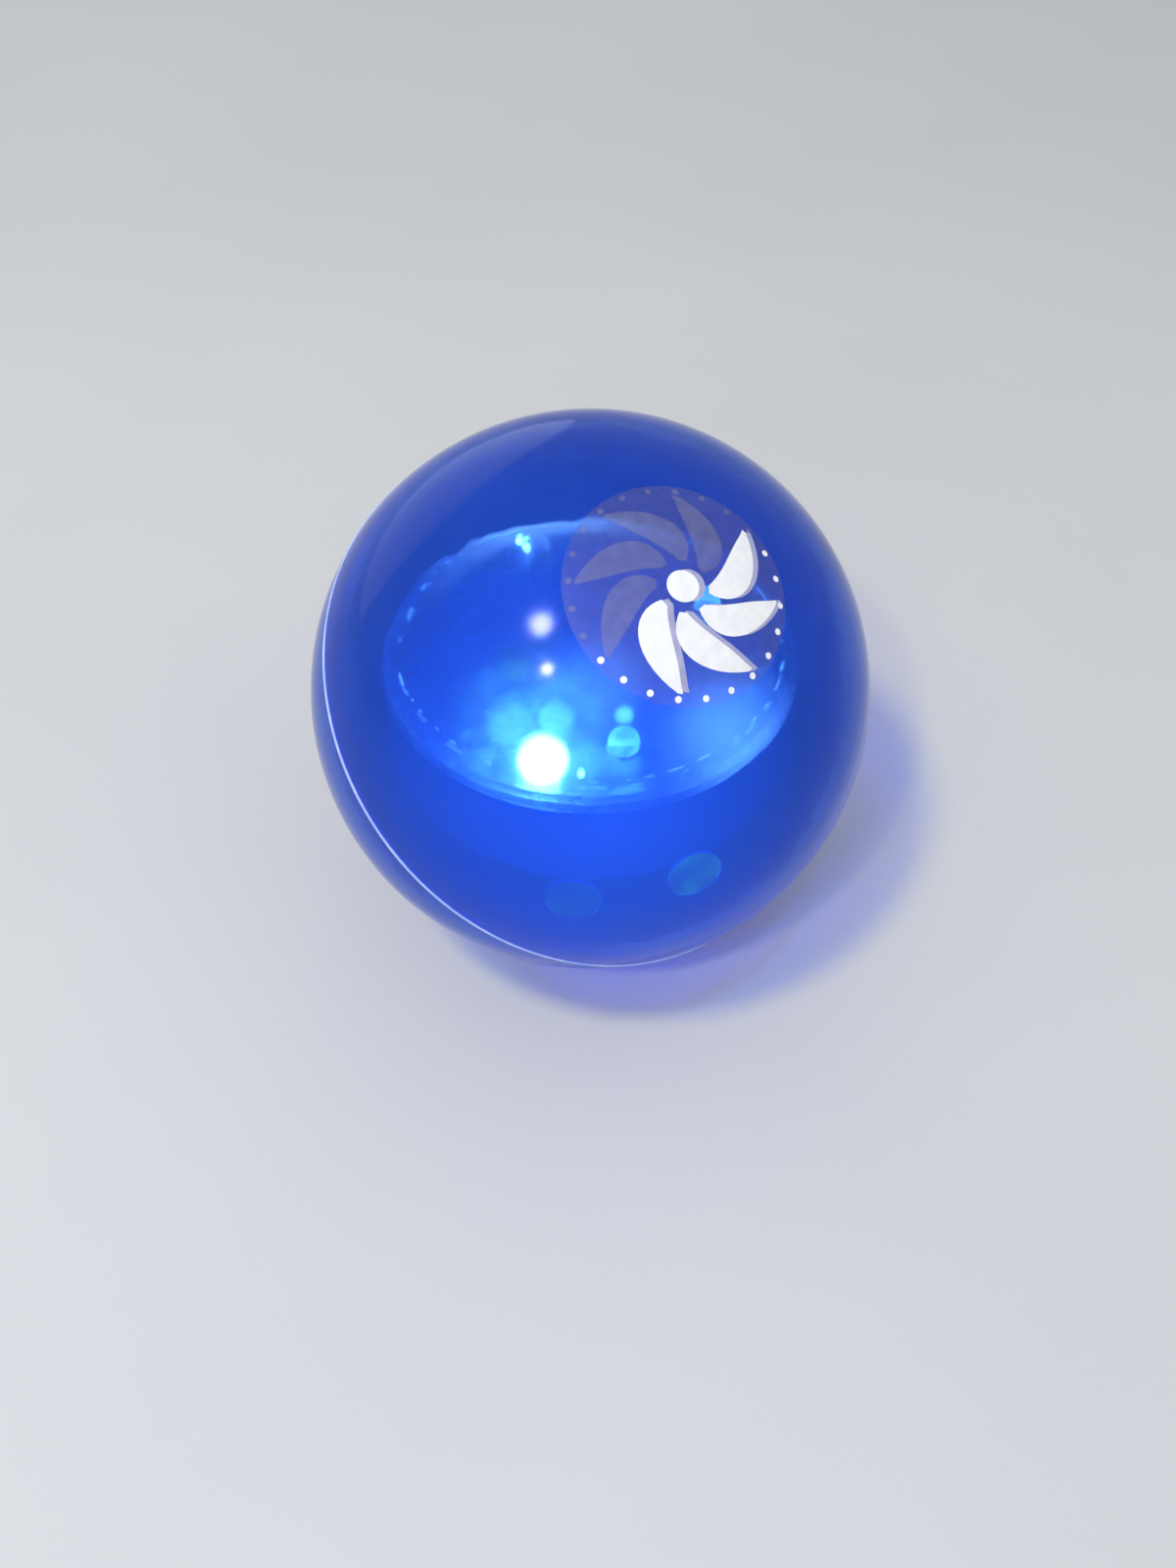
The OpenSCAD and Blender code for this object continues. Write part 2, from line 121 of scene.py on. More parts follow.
# Pools of the lit LED's light on the cover: pixel, reach in metres, strength, colour, stops
HALO_POOL = (HALO_PIXEL, 16 * MM, 2.6, TEAL, HALO_STOPS)
RIM_POOL = (RIM_SHEEN_PIXEL, 26 * MM, 3.2, RIM_SHEEN_COLOUR, SHEEN_STOPS)
PLAIN_POOLS = (
    (LIT_LED_PIXEL, 5.6 * MM, 40.0, WARM_WHITE, CORE_STOPS),
    (LEFT_SPOT_PIXEL, 4.4 * MM, 1.6, TEAL, SPOT_STOPS),
    (UPPER_SPOT_PIXEL, 3.4 * MM, 3.4, TEAL, SPOT_STOPS),
    (RIGHT_SPOT_PIXEL, 3.5 * MM, 1.8, TEAL, SPOT_STOPS),
    (SMALL_SPOT_PIXEL, 1.6 * MM, 6.0, TEAL, SPOT_STOPS),
    (RIM_GLINT_PIXEL, 0.8 * MM, 40.0, WARM_WHITE, SPOT_STOPS),
    (SECOND_RIM_GLINT_PIXEL, 0.9 * MM, 40.0, WARM_WHITE, SPOT_STOPS),
    (LED_GLINT_PIXEL, 0.7 * MM, 30.0, WARM_WHITE, SPOT_STOPS),
    (MIDDLE_SHEEN_PIXEL, 12 * MM, 1.6, SHEEN_COLOUR, SHEEN_STOPS),
    (RIGHT_SHEEN_PIXEL, 13 * MM, 3.2, SHEEN_COLOUR, SHEEN_STOPS),
)

# The cover's rim: radii over which its light and its paler colour set in, and its broken line of glints
RIM_LIGHT_RADII = (UNIT_RADIUS - 7.2 * MM, UNIT_RADIUS - 5.5 * MM)
RIM_PALE_RADII = (UNIT_RADIUS - 8 * MM, UNIT_RADIUS - 1 * MM)
GLINT_RING = UNIT_RADIUS - 3.2 * MM
GLINT_WIDTH = 0.5 * MM
GLINT_STRENGTH = 6.0
DASH_LEVELS = (0.55, 0.59)

# The lit lens's light, the strengths of the painted glow in the two unlit lenses, and the tint of lamp
# light through clear plastic
LIT_LENS_STRENGTH = 70.0
NEAR_LENS_STRENGTH = 3.0
FAR_LENS_STRENGTH = 2.6
CLEAR_TINT = (0.9, 0.95, 1.0)

# The brass pieces; pieces without a look of their own are plated steel
BRASS_NODES = (
    "switch_anchor", "switch_pin", "switch_spring", "lower_bridge",
    "upper_bridge", "positive_terminal", "negative_terminal",
)

# The print: a whirl of blades and a ring of dots, in millimetres around its middle
MIDDLE = (0, 0)
BLADE_COUNT = 8
BLADE_ROOT = 4.2
BLADE_TIP = 16.5
BLADE_WIDTH = 6.4
BLADE_SWEEP = math.radians(46)
HUB_RADIUS = 2.6
PANEL_RADIUS = 18.5
DOT_RING = 17.4
DOT_RADIUS = 0.55
DOT_COUNT = 24
SHADE_SHIFT = (0.9, -0.5)
# A blade's width follows a stretch of half a sine wave: where it starts, and how long it is
BLADE_WAVE_START = 0.06
BLADE_WAVE_LENGTH = 0.9
# Steps of the patches, a blade's across each side of its middle line
BLADE_STEPS = 14
BLADE_SIDE_STEPS = 2
HUB_STEPS = 8
PANEL_STEPS = 32
DOT_STEPS = 4
# Heights of an ink's low and high face above the ball's surface, in millimetres
PANEL_LAYER = (0.015, 0.022)
SHADE_LAYER = (0.028, 0.034)
INK_LAYER = (0.040, 0.048)
SHARP_ANGLE = math.radians(40)
LEAST_REACH = 1e-9

# Lamps: pixel of the mirror image in the ball, distance and size in metres, power in watts
LAMPS = {
    "key_lamp": (HIGHLIGHT_PIXEL, 0.9, 0.12, 4.0),
    "small_lamp": (SMALL_HIGHLIGHT_PIXEL, 0.9, 0.06, 1.8),
    "soft_box": (SOFT_BOX_PIXEL, 1.3, 1.6, 4.0),
}

# The studio, in metres; the floor turns paler between two distances
FLOOR_SIZE = 40.0
FLOOR_PALER = (0.7, 2.5)
FLOOR_ROUGHNESS = 0.75
WORLD_COLOUR = (0.80, 0.82, 0.85)
WORLD_STRENGTH = 0.65


def seam_direction(polar, turn):
    """The direction at so many degrees from the front pole and round the seam's axis."""
    polar = math.radians(polar)
    turn = math.radians(turn)
    return (
        SEAM_RIGHT * (math.sin(polar) * math.cos(turn))
        + SEAM_UP * (math.sin(polar) * math.sin(turn))
        + SEAM_AXIS * math.cos(polar)
    )


# Camera
def add_camera():
    """A camera that shows the ball's outline where the photograph does."""
    fall = PHOTO_HEIGHT / 2 - BALL_PIXEL[1]
    slant = math.hypot(FOCAL_PIXELS, fall)
    distance = BALL_RADIUS / math.sin(math.atan(OUTLINE_PIXELS / slant))
    back = Vector((
        math.sin(AZIMUTH) * math.cos(ELEVATION),
        -math.cos(AZIMUTH) * math.cos(ELEVATION),
        math.sin(ELEVATION),
    ))
    tilt = math.pi / 2 - ELEVATION - math.atan(fall / FOCAL_PIXELS)
    data = bpy.data.cameras.new("camera")
    data.lens = FOCAL_PIXELS * data.sensor_width / PHOTO_HEIGHT
    data.shift_x = (PHOTO_WIDTH / 2 - BALL_PIXEL[0]) / PHOTO_HEIGHT
    data.clip_start = NEAR_CLIP
    camera = bpy.data.objects.new("camera", data)
    camera.matrix_world = (
        Matrix.Translation(back * distance)
        @ Matrix.Rotation(AZIMUTH, 4, "Z")
        @ Matrix.Rotation(tilt, 4, "X")
    )
    bpy.context.scene.collection.objects.link(camera)
    bpy.context.scene.camera = camera
    return camera


def view_ray(camera, pixel):
    """The direction of sight through a pixel."""
    aim = Vector((pixel[0] - BALL_PIXEL[0], PHOTO_HEIGHT / 2 - pixel[1], -FOCAL_PIXELS))
    return (camera.matrix_world.to_3x3() @ aim).normalized()


def ball_point(camera, pixel):
    """The point of the ball's surface that a pixel shows."""
    ray = view_ray(camera, pixel)
    start = camera.matrix_world.translation
    along = -start.dot(ray)
    miss = (start + ray * along).length
    return start + ray * (along - math.sqrt(BALL_RADIUS ** 2 - miss ** 2))


def cover_point(camera, pixel):
    """The point of the lamp unit's cover on the straight line of sight through a pixel."""
    ray = view_ray(camera, pixel)
    start = camera.matrix_world.translation
    return start + ray * ((UNIT_HIGH.z - start.z) / ray.z)


def mirrored_place(camera, pixel, distance):
    """A place whose mirror image in the ball shows at a pixel."""
    point = ball_point(camera, pixel)
    normal = point.normalized()
    ray = view_ray(camera, pixel)
    return point + (ray - 2 * ray.dot(normal) * normal) * distance


# Material helpers
def new_material(name):
    """A new material with its node tree and main shader."""
    material = bpy.data.materials.new(name)
    material.use_nodes = True
    tree = material.node_tree
    return material, tree, tree.nodes["Principled BSDF"]


def position(tree):
    """The place on the piece, in metres in its own frame."""
    return tree.nodes.new("ShaderNodeTexCoord").outputs["Object"]


def noise(tree, scale, detail=4.0):
    """Smooth noise."""
    texture = tree.nodes.new("ShaderNodeTexNoise")
    texture.inputs["Scale"].default_value = scale
    texture.inputs["Detail"].default_value = detail
    tree.links.new(position(tree), texture.inputs["Vector"])
    return texture.outputs["Fac"]


def cells(tree, scale, feature="F1"):
    """The distance to the nearest cell's middle, or to another feature of the cells."""
    texture = tree.nodes.new("ShaderNodeTexVoronoi")
    texture.feature = feature
    texture.inputs["Scale"].default_value = scale
    tree.links.new(position(tree), texture.inputs["Vector"])
    return texture.outputs["Distance"]


def math_node(tree, operation, first, second):
    """A sum, product or the like of two sockets or numbers."""
    node = tree.nodes.new("ShaderNodeMath")
    node.operation = operation
    for socket, value in zip(node.inputs, (first, second)):
        if isinstance(value, (int, float)):
            socket.default_value = value
        else:
            tree.links.new(value, socket)
    return node.outputs["Value"]


def vector_node(tree, operation, vector, output, source=None):
    """An operation on a source, or else the position, and a fixed vector."""
    node = tree.nodes.new("ShaderNodeVectorMath")
    node.operation = operation
    node.inputs[1].default_value = vector
    tree.links.new(source or position(tree), node.inputs[0])
    return node.outputs[output]


def length_of(tree, vector):
    """The length of a vector."""
    node = tree.nodes.new("ShaderNodeVectorMath")
    node.operation = "LENGTH"
    tree.links.new(vector, node.inputs[0])
    return node.outputs["Value"]


def map_range(tree, value, source, target):
    """A value moved from one range to another and kept within it."""
    node = tree.nodes.new("ShaderNodeMapRange")
    node.inputs["From Min"].default_value = source[0]
    node.inputs["From Max"].default_value = source[1]
    node.inputs["To Min"].default_value = target[0]
    node.inputs["To Max"].default_value = target[1]
    tree.links.new(value, node.inputs["Value"])
    return node.outputs["Result"]


def ramp(tree, factor, stops):
    """Colours at the stops of a factor, blended between them."""
    node = tree.nodes.new("ShaderNodeValToRGB")
    elements = node.color_ramp.elements
    while len(elements) < len(stops):
        elements.new(1.0)
    for element, (place, colour) in zip(elements, stops):
        element.position = place
        element.color = (*colour, 1.0)
    tree.links.new(factor, node.inputs["Fac"])
    return node.outputs["Color"]


def mix_colour(tree, factor, first, second):
    """A first colour that gives way to a fixed second one."""
    node = tree.nodes.new("ShaderNodeMix")
    node.data_type = "RGBA"
    tree.links.new(factor, node.inputs["Factor"])
    tree.links.new(first, node.inputs["A"])
    node.inputs["B"].default_value = (*second, 1.0)
    return node.outputs["Result"]


def scaled_colour(tree, colour, level, strength):
    """A colour of light at a level and strength."""
    node = tree.nodes.new("ShaderNodeVectorMath")
    node.operation = "SCALE"
    node.inputs[0].default_value = colour
    tree.links.new(math_node(tree, "MULTIPLY", level, strength), node.inputs["Scale"])
    return node.outputs["Vector"]


def add_colour(tree, first, second):
    """Two lights together."""
    node = tree.nodes.new("ShaderNodeVectorMath")
    node.operation = "ADD"
    tree.links.new(first, node.inputs[0])
    tree.links.new(second, node.inputs[1])
    return node.outputs["Vector"]


def speckled_colour(tree, dark, light, scale):
    """A colour that wanders between two."""
    return ramp(tree, noise(tree, scale), [(0.3, dark), (0.7, light)])


def uneven_level(tree, scale, detail, levels):
    """A level that wanders between two."""
    return map_range(tree, noise(tree, scale, detail), (0.35, 0.65), levels)


def vary_colour(tree, shader, dark, light, scale):
    """Gives the piece a colour that wanders between two."""
    tree.links.new(speckled_colour(tree, dark, light, scale), shader.inputs["Base Color"])


def vary_roughness(tree, shader, low, high, scale):
    """Gives the piece a roughness that wanders between two."""
    value = map_range(tree, noise(tree, scale), (0.35, 0.7), (low, high))
    tree.links.new(value, shader.inputs["Roughness"])


def add_bump(tree, shader, height, distance, strength=0.5):
    """Gives the piece a fine relief."""
    bump = tree.nodes.new("ShaderNodeBump")
    bump.inputs["Strength"].default_value = strength
    bump.inputs["Distance"].default_value = distance
    tree.links.new(height, bump.inputs["Height"])
    tree.links.new(bump.outputs["Normal"], shader.inputs["Normal"])


def add_light(tree, shader, light):
    """Makes the piece give off a light of its own."""
    tree.links.new(light, shader.inputs["Emission Color"])
    shader.inputs["Emission Strength"].default_value = 1.0


def let_lamps_through(material, tint):
    """Lamps shine through the piece with this tint, as they do through clear plastic."""
    tree = material.node_tree
    path = tree.nodes.new("ShaderNodeLightPath")
    clear = tree.nodes.new("ShaderNodeBsdfTransparent")
    clear.inputs["Color"].default_value = (*tint, 1.0)
    mix = tree.nodes.new("ShaderNodeMixShader")
    tree.links.new(path.outputs["Is Shadow Ray"], mix.inputs["Fac"])
    tree.links.new(tree.nodes["Principled BSDF"].outputs["BSDF"], mix.inputs[1])
    tree.links.new(clear.outputs["BSDF"], mix.inputs[2])
    tree.links.new(mix.outputs["Shader"], tree.nodes["Material Output"].inputs["Surface"])


def fall_off(tree, distance, reach, stops):
    """A light level that follows its stops out to a reach."""
    share = map_range(tree, distance, (0, reach), (0, 1))
    return ramp(tree, share, [(place, (level, level, level)) for place, level in stops])


def pool_light(tree, camera, pool, mask=None):
    """The light of one pool, round the line of sight through its pixel, under a mask if there is one."""
    pixel, reach, strength, colour, stops = pool
    ray = view_ray(camera, pixel)
    across = vector_node(tree, "CROSS_PRODUCT", ray, "Vector")
    distance = vector_node(tree, "DISTANCE", cover_point(camera, pixel).cross(ray), "Value", across)
    level = fall_off(tree, distance, reach, stops)
    if mask:
        level = math_node(tree, "MULTIPLY", level, mask)
    return scaled_colour(tree, colour, level, strength)


# Materials
def pad_glow_mask(tree):
    """How strongly the painted glow on the round pads shows: nought outside their outlines and on the far
    side of the ball.
    """
    total = 0.0
    for polar, turn, share in PADS:
        aim = seam_direction(polar, turn)
        off_axis = length_of(tree, vector_node(tree, "CROSS_PRODUCT", aim, "Vector"))
        inside = map_range(tree, off_axis, (PAD_RADIUS - PAD_EDGE, PAD_RADIUS + PAD_EDGE), (share, 0))
        facing = map_range(tree, vector_node(tree, "DOT_PRODUCT", aim, "Value"), (0, PAD_FADE), (0, 1))
        total = math_node(tree, "ADD", total, math_node(tree, "MULTIPLY", inside, facing))
    return total


def shell_light(tree, camera, inside):
    """The painted light caught in the wall, and a patchy painted glow on the round pads of the inner face.
    """
    distance = vector_node(tree, "DISTANCE", ball_point(camera, WALL_GLOW_PIXEL), "Value")
    level = fall_off(tree, distance, WALL_GLOW_REACH, WALL_GLOW_STOPS)
    patchy_glow = uneven_level(tree, scale=200, detail=2.0, levels=(0.3, 1.5))
    # The pads' painted glow: patchy, and on the inner face only
    pads = math_node(tree, "MULTIPLY", math_node(tree, "MULTIPLY", inside, patchy_glow), pad_glow_mask(tree))
    return add_colour(
        tree,
        scaled_colour(tree, WALL_GLOW_COLOUR, level, WALL_GLOW_STRENGTH),
        scaled_colour(tree, PAD_GLOW_COLOUR, pads, PAD_GLOW_STRENGTH),
    )


def shell_plastic(camera):
    """Clear blue plastic, smooth outside and rippled on the inner face."""
    material, tree, shader = new_material("clear_blue_plastic")
    inside = map_range(tree, length_of(tree, position(tree)), WALL_RADII, (1, 0))
    ripple = math_node(tree, "MULTIPLY", inside, noise(tree, scale=70, detail=2.0))
    vary_colour(tree, shader, dark=(0.022, 0.115, 0.54), light=(0.03, 0.14, 0.62), scale=30)
    vary_roughness(tree, shader, low=0.06, high=0.14, scale=60)
    add_bump(tree, shader, ripple, distance=2 * MM, strength=0.45)
    shader.inputs["IOR"].default_value = 1.2
    shader.inputs["Transmission Weight"].default_value = 0.75
    add_light(tree, shader, shell_light(tree, camera, inside))
    let_lamps_through(material, tint=(0.35, 0.5, 0.95))
    return material


def weld_plastic():
    """The pale blue bead of the seam."""
    material, tree, shader = new_material("weld_bead")
    vary_colour(tree, shader, dark=(0.3, 0.42, 0.85), light=(0.5, 0.62, 0.92), scale=200)
    vary_roughness(tree, shader, low=0.15, high=0.3, scale=400)
    return material


def moulded_plastic(name, dark, light):
    """Moulded plastic with a fine grain."""
    material, tree, shader = new_material(name)
    vary_colour(tree, shader, dark, light, scale=90)
    vary_roughness(tree, shader, low=0.35, high=0.55, scale=300)
    add_bump(tree, shader, noise(tree, scale=2500), distance=0.05 * MM)
    return material


def glint_light(tree, off_axis):
    """A broken bright line round the cover's rim."""
    off_ring = math_node(tree, "ABSOLUTE", math_node(tree, "SUBTRACT", off_axis, GLINT_RING), 0.0)
    line = map_range(tree, off_ring, (0, GLINT_WIDTH / 2), (1, 0))
    dashes = map_range(tree, noise(tree, scale=300, detail=1.0), DASH_LEVELS, (0, 1))
    return scaled_colour(tree, WARM_WHITE, math_node(tree, "MULTIPLY", line, dashes), GLINT_STRENGTH)


def cover_light(tree, camera, off_axis):
    """The light that the lit LED throws on the cover: a grainy halo, plain pools, rim and glints."""
    # Grain and patches here are painted sparkle in the halo's light, not a texture of the cover
    grain = uneven_level(tree, scale=900, detail=8.0, levels=(0.6, 1.4))
    patches = uneven_level(tree, scale=160, detail=2.0, levels=(0.6, 1.4))
    rim = map_range(tree, off_axis, RIM_LIGHT_RADII, (0, 1))
    light = pool_light(tree, camera, HALO_POOL, math_node(tree, "MULTIPLY", grain, patches))
    for pool in PLAIN_POOLS:
        light = add_colour(tree, light, pool_light(tree, camera, pool))
    light = add_colour(tree, light, pool_light(tree, camera, RIM_POOL, rim))
    return add_colour(tree, light, glint_light(tree, off_axis))


def frosted_cover(camera):
    """The lamp unit's cover, paler at its rim and lit by the LED."""
    material, tree, shader = new_material("frosted_cover")
    off_axis = length_of(tree, vector_node(tree, "CROSS_PRODUCT", UNIT_AXIS, "Vector"))
    rim = map_range(tree, off_axis, RIM_PALE_RADII, (0, 1))
    middle = speckled_colour(tree, dark=(0.55, 0.62, 0.7), light=(0.7, 0.76, 0.82), scale=120)
    tree.links.new(mix_colour(tree, rim, middle, (0.86, 0.9, 0.94)), shader.inputs["Base Color"])
    vary_roughness(tree, shader, low=0.2, high=0.35, scale=200)
    add_bump(tree, shader, noise(tree, scale=1200), distance=0.05 * MM)
    shader.inputs["Transmission Weight"].default_value = 0.75
    add_light(tree, shader, cover_light(tree, camera, off_axis))
    let_lamps_through(material, CLEAR_TINT)
    return material


def clear_lens(name, strength):
    """An unlit lens with painted light of the lit one given off in facets."""
    material, tree, shader = new_material(name)
    vary_colour(tree, shader, dark=(0.82, 0.94, 0.98), light=(0.95, 0.98, 1.0), scale=400)
    vary_roughness(tree, shader, low=0.04, high=0.12, scale=300)
    shader.inputs["IOR"].default_value = 1.5
    shader.inputs["Transmission Weight"].default_value = 0.9
    # Painted light: the cells set how strongly each facet glows
    facets = map_range(tree, cells(tree, scale=500), (0.1, 0.6), (1.5, 0.5))
    add_light(tree, shader, scaled_colour(tree, CYAN, facets, strength))
    let_lamps_through(material, CLEAR_TINT)
    return material


def lit_lens():
    """The lens of the LED that is on."""
    material, tree, shader = new_material("lit_lens")
    vary_colour(tree, shader, dark=(0.8, 1.0, 0.95), light=(0.95, 1.0, 1.0), scale=400)
    vary_roughness(tree, shader, low=0.1, high=0.2, scale=300)
    shader.inputs["Emission Color"].default_value = (*WARM_WHITE, 1.0)
    shader.inputs["Emission Strength"].default_value = LIT_LENS_STRENGTH
    return material


def board_mask():
    """Blue solder mask with paler tracks under it."""
    material, tree, shader = new_material("blue_board")
    mask = speckled_colour(tree, dark=(0.04, 0.13, 0.5), light=(0.07, 0.2, 0.6), scale=250)
    tracks = map_range(tree, cells(tree, scale=260, feature="DISTANCE_TO_EDGE"), (0.03, 0.06), (1, 0))
    tree.links.new(mix_colour(tree, tracks, mask, (0.2, 0.36, 0.7)), shader.inputs["Base Color"])
    vary_roughness(tree, shader, low=0.25, high=0.4, scale=300)
    add_bump(tree, shader, tracks, distance=0.03 * MM)
    return material


def metal(name, dark, light, low, high):
    """Metal with a fine grain."""
    material, tree, shader = new_material(name)
    vary_colour(tree, shader, dark, light, scale=500)
    vary_roughness(tree, shader, low, high, scale=700)
    add_bump(tree, shader, noise(tree, scale=3000), distance=0.02 * MM)
    shader.inputs["Metallic"].default_value = 1.0
    return material


def print_ink(name, dark, light, cover):
    """Printing ink that covers what is under it in part or in full."""
    material, tree, shader = new_material(name)
    vary_colour(tree, shader, dark, light, scale=500)
    vary_roughness(tree, shader, low=0.3, high=0.5, scale=800)
    shader.inputs["Alpha"].default_value = cover
    return material


def dress_nodes(camera):
    """Gives every node its material."""
    steel = metal("plated_steel", dark=(0.55, 0.56, 0.58), light=(0.72, 0.72, 0.73), low=0.2, high=0.35)
    brass = metal("rolled_brass", dark=(0.6, 0.42, 0.16), light=(0.8, 0.6, 0.28), low=0.22, high=0.4)
    shell = shell_plastic(camera)
    black = moulded_plastic("black_resin", dark=(0.012, 0.012, 0.014), light=(0.03, 0.03, 0.03))
    looks = {
        "front_shell": shell,
        "rear_shell": shell,
        "seam_weld": weld_plastic(),
        "unit_base": moulded_plastic("grey_housing", dark=(0.36, 0.4, 0.5), light=(0.5, 0.54, 0.6)),
        "unit_cover": frosted_cover(camera),
        "circuit_board": board_mask(),
        "led_resistors": black,
        "capacitor": moulded_plastic("capacitor_sleeve", dark=(0.03, 0.06, 0.13), light=(0.05, 0.09, 0.18)),
        "controller_chip": black,
        "led_lens_1": lit_lens(),
        "led_lens_2": clear_lens("near_lens", NEAR_LENS_STRENGTH),
        "led_lens_3": clear_lens("far_lens", FAR_LENS_STRENGTH),
        "cell_holder": moulded_plastic("white_holder", dark=(0.72, 0.72, 0.7), light=(0.84, 0.84, 0.82)),
    }
    looks.update(dict.fromkeys(BRASS_NODES, brass))
    for name, node in frame["nodes"].items():
        node.data.materials.clear()
        node.data.materials.append(looks.get(name, steel))


# Print on the front shell
def blade_patch(turn, shift):
    """Rows of points, in millimetres, of one curved blade."""
    rows = []
    for i in range(BLADE_STEPS + 1):
        t = i / BLADE_STEPS
        ring = BLADE_ROOT + (BLADE_TIP - BLADE_ROOT) * t
        angle = turn + BLADE_SWEEP * t
        half = BLADE_WIDTH / 2 * math.sin(math.pi * (BLADE_WAVE_START + BLADE_WAVE_LENGTH * t))
        row = []
        for j in range(-BLADE_SIDE_STEPS, BLADE_SIDE_STEPS + 1):
            side = half * j / BLADE_SIDE_STEPS
            row.append((
                ring * math.cos(angle) - side * math.sin(angle) + shift[0],
                ring * math.sin(angle) + side * math.cos(angle) + shift[1],
            ))
        rows.append(row)
    return rows


def disc_patch(middle, radius, steps):
    """Rows of points, in millimetres, of a round spot: a square grid drawn in to a circle."""
    rows = []
    for i in range(steps + 1):
        x = 2 * i / steps - 1
        row = []
        for j in range(steps + 1):
            y = 2 * j / steps - 1
            row.append((
                middle[0] + radius * x * math.sqrt(1 - y * y / 2),
                middle[1] + radius * y * math.sqrt(1 - x * x / 2),
            ))
        rows.append(row)
    return rows


def surface_point(centre, point, lift):
    """A patch's point laid on the ball's surface around a centre and lifted off it, both in millimetres."""
    across = (SEAM_RIGHT - centre * SEAM_RIGHT.dot(centre)).normalized()
    along = centre.cross(across)
    u = point[0] * MM
    v = point[1] * MM
    reach = math.hypot(u, v)
    turn = reach / BALL_RADIUS
    way = (across * u + along * v) / max(reach, LEAST_REACH)
    return (centre * math.cos(turn) + way * math.sin(turn)) * (BALL_RADIUS + lift * MM)


def add_patch(mesh, centre, rows, layer):
    """One thin closed patch between the low and high face of its layer."""
    low, high = [
        [[mesh.verts.new(surface_point(centre, point, lift)) for point in row] for row in rows]
        for lift in layer
    ]
    last_row = len(rows) - 1
    last = len(rows[0]) - 1
    for i in range(last_row):
        for j in range(last):
            for sheet in (low, high):
                mesh.faces.new((sheet[i][j], sheet[i + 1][j], sheet[i + 1][j + 1], sheet[i][j + 1]))
    rim = (
        [(i, 0) for i in range(last_row)]
        + [(last_row, j) for j in range(last)]
        + [(i, last) for i in range(last_row, 0, -1)]
        + [(0, j) for j in range(last, 0, -1)]
    )
    for (a, b), (c, d) in zip(rim, rim[1:] + rim[:1]):
        mesh.faces.new((low[a][b], low[c][d], high[c][d], high[a][b]))


def add_print_piece(name, centre, patches, layer, material):
    """The patches of one ink as a piece that follows the ball's surface around a point of it."""
    mesh = bmesh.new()
    for rows in patches:
        add_patch(mesh, centre, rows, layer)
    bmesh.ops.recalc_face_normals(mesh, faces=mesh.faces)
    data = bpy.data.meshes.new(name)
    mesh.to_mesh(data)
    mesh.free()
    for face in data.polygons:
        face.use_smooth = True
    data.set_sharp_from_angle(angle=SHARP_ANGLE)
    data.materials.append(material)
    piece = bpy.data.objects.new(name, data)
    bpy.context.scene.collection.objects.link(piece)
    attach(piece, "ball")


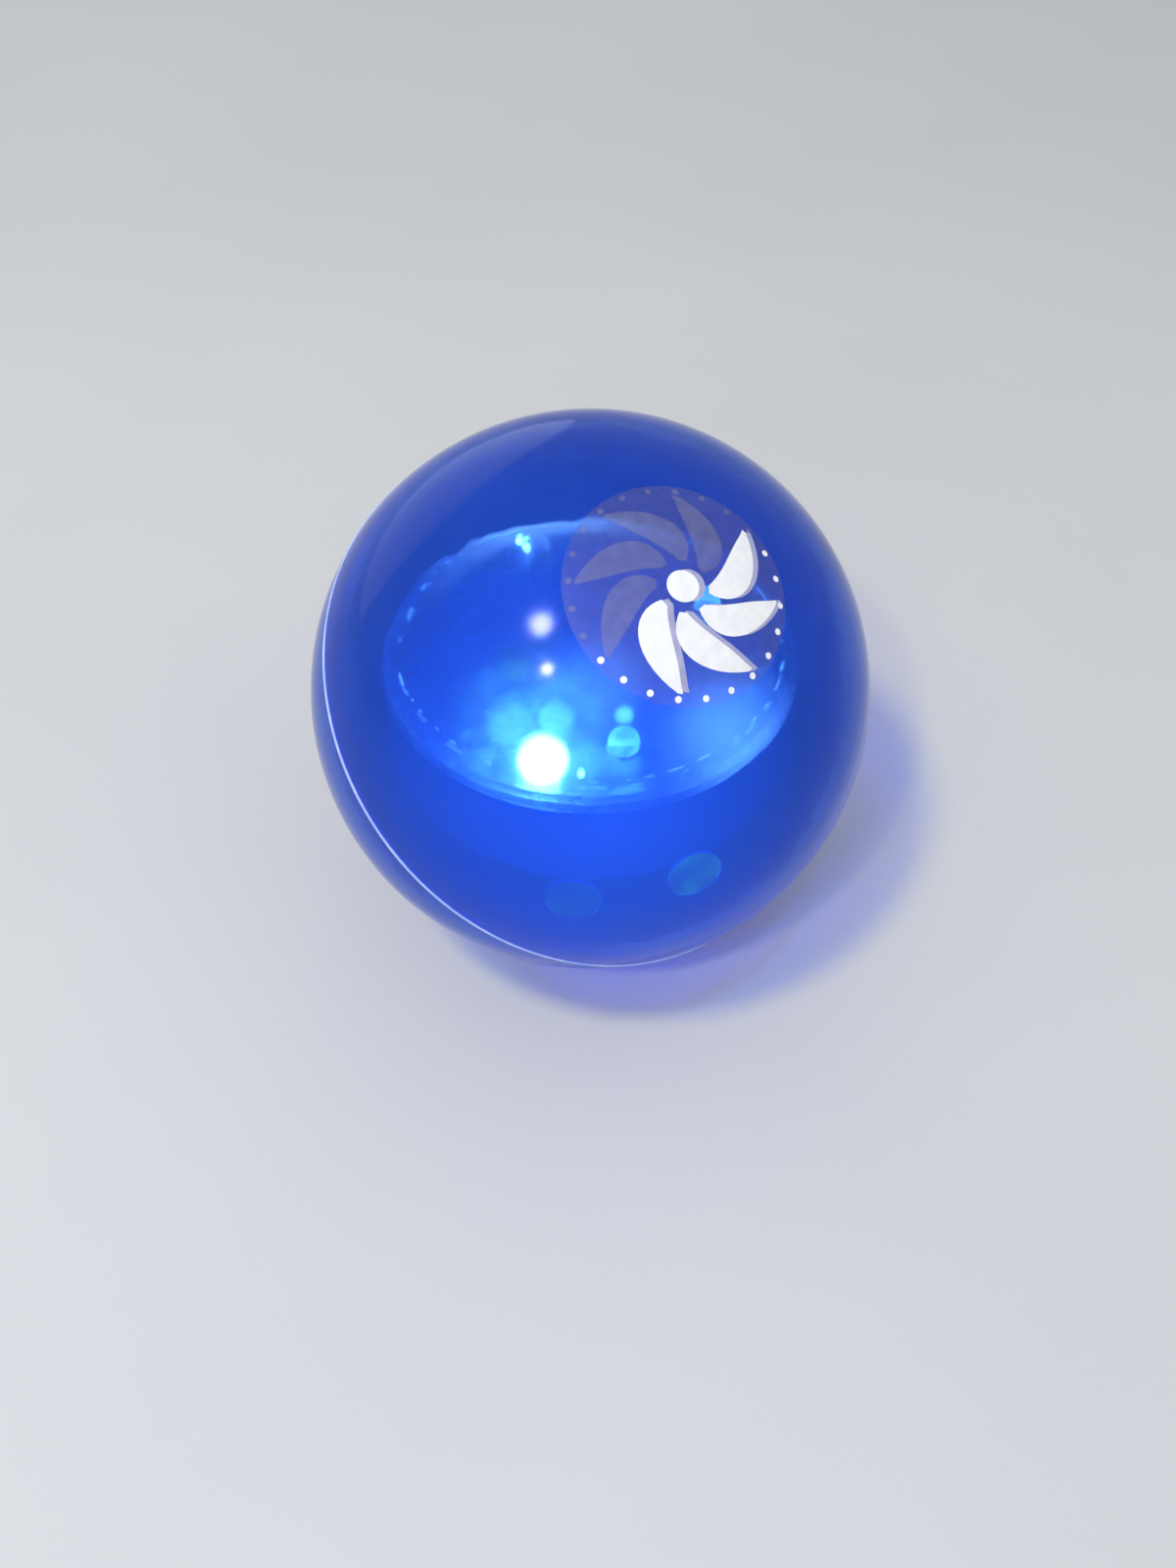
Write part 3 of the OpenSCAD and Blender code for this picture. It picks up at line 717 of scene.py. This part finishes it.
def add_print(camera):
    """A whirl with one half grey and one half white, a shade under its white blades, and a round panel."""
    centre = ball_point(camera, PRINT_PIXEL).normalized()
    panel = [disc_patch(MIDDLE, PANEL_RADIUS, PANEL_STEPS)]
    shade = [disc_patch(SHADE_SHIFT, HUB_RADIUS, HUB_STEPS)]
    white = [disc_patch(MIDDLE, HUB_RADIUS, HUB_STEPS)]
    grey = []
    for k in range(BLADE_COUNT):
        turn = 2 * math.pi * k / BLADE_COUNT
        if k < BLADE_COUNT // 2:
            grey.append(blade_patch(turn, MIDDLE))
        else:
            white.append(blade_patch(turn, MIDDLE))
            shade.append(blade_patch(turn, SHADE_SHIFT))
    for k in range(DOT_COUNT):
        turn = 2 * math.pi * k / DOT_COUNT
        spot = (DOT_RING * math.cos(turn), DOT_RING * math.sin(turn))
        ink = grey if k < DOT_COUNT // 2 else white
        ink.append(disc_patch(spot, DOT_RADIUS, DOT_STEPS))
    panel_ink = print_ink("panel_ink", dark=(0.14, 0.14, 0.26), light=(0.2, 0.2, 0.32), cover=0.12)
    shade_ink = print_ink("shade_ink", dark=(0.36, 0.37, 0.6), light=(0.46, 0.47, 0.7), cover=0.9)
    white_ink = print_ink("white_ink", dark=(0.82, 0.84, 0.88), light=(0.92, 0.93, 0.95), cover=1.0)
    grey_ink = print_ink("grey_ink", dark=(0.2, 0.21, 0.38), light=(0.27, 0.28, 0.46), cover=0.25)
    add_print_piece("print_panel", centre, panel, PANEL_LAYER, panel_ink)
    add_print_piece("print_shade", centre, shade, SHADE_LAYER, shade_ink)
    add_print_piece("print_white", centre, white, INK_LAYER, white_ink)
    add_print_piece("print_grey", centre, grey, INK_LAYER, grey_ink)


# Studio
def add_floor():
    """A wide pale floor under the ball."""
    bpy.ops.mesh.primitive_plane_add(size=FLOOR_SIZE, location=(0, 0, FLOOR_HEIGHT))
    floor = bpy.context.object
    floor.name = "floor"
    material, tree, shader = new_material("pale_floor")
    pale = speckled_colour(tree, dark=(0.60, 0.61, 0.63), light=(0.64, 0.65, 0.66), scale=6)
    away = map_range(tree, length_of(tree, position(tree)), FLOOR_PALER, (0, 1))
    tree.links.new(mix_colour(tree, away, pale, (0.95, 0.96, 0.97)), shader.inputs["Base Color"])
    shader.inputs["Roughness"].default_value = FLOOR_ROUGHNESS
    floor.data.materials.append(material)


def add_world():
    """Even pale light from all sides."""
    world = bpy.data.worlds.new("studio")
    bpy.context.scene.world = world
    world.use_nodes = True
    background = world.node_tree.nodes["Background"]
    background.inputs["Color"].default_value = (*WORLD_COLOUR, 1.0)
    background.inputs["Strength"].default_value = WORLD_STRENGTH


def add_lamp(name, place, size, power):
    """A round lamp that faces the ball."""
    data = bpy.data.lights.new(name, "AREA")
    data.shape = "DISK"
    data.size = size
    data.energy = power
    lamp = bpy.data.objects.new(name, data)
    lamp.location = place
    lamp.rotation_euler = (-Vector(place)).to_track_quat("-Z", "Y").to_euler()
    bpy.context.scene.collection.objects.link(lamp)


camera = add_camera()
dress_nodes(camera)
add_print(camera)
add_floor()
add_world()
for name, (pixel, distance, size, power) in LAMPS.items():
    add_lamp(name, mirrored_place(camera, pixel, distance), size, power)

bpy.context.scene.view_settings.view_transform = "Standard"
